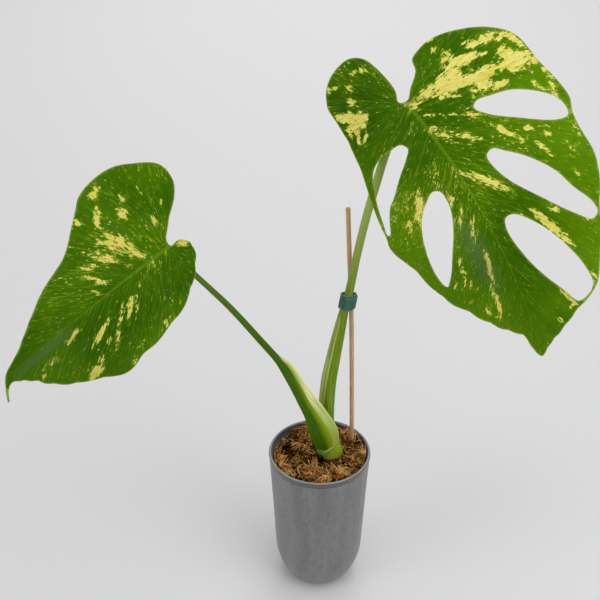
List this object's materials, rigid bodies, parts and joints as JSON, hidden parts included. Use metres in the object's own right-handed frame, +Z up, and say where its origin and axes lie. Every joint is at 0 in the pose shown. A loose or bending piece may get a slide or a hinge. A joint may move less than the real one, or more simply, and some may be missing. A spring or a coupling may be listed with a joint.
{
  "type": "potted white monster monstera",
  "caption": "Potted variegated monstera cutting: a heart-shaped leaf and a slotted leaf on sheathed stalks, a stake and tie, in moss in a slim grey ceramic pot",
  "frame": {"origin": "middle of the pot's flat underside, on the surface that it stands on", "axes": "+Z up, -Y towards the front, where both leaves show their upper faces, and the heart-shaped leaf towards -X"},
  "size_m": [0.4422, 0.1649, 0.5312],
  "materials": {
    "pot": "matte mid-grey stoneware with a glossy dark rim",
    "moss": "dried brown sphagnum strands",
    "stem": "waxy green stem with a brown cut foot",
    "stalk": "satin green leaf stalk with a pale sheath",
    "leaf": "satin green leaf with cream marbling",
    "stake": "plain round bamboo",
    "tie": "dark teal hook-and-loop strap"
  },
  "bodies": {
    "root": {"pot": "pot", "moss": "moss", "stem": "stem", "stalk_left": "stalk", "stalk_right": "stalk", "blade_left": "leaf", "blade_right": "leaf", "stake": "stake", "tie": "tie"}
  },
  "joints": []
}
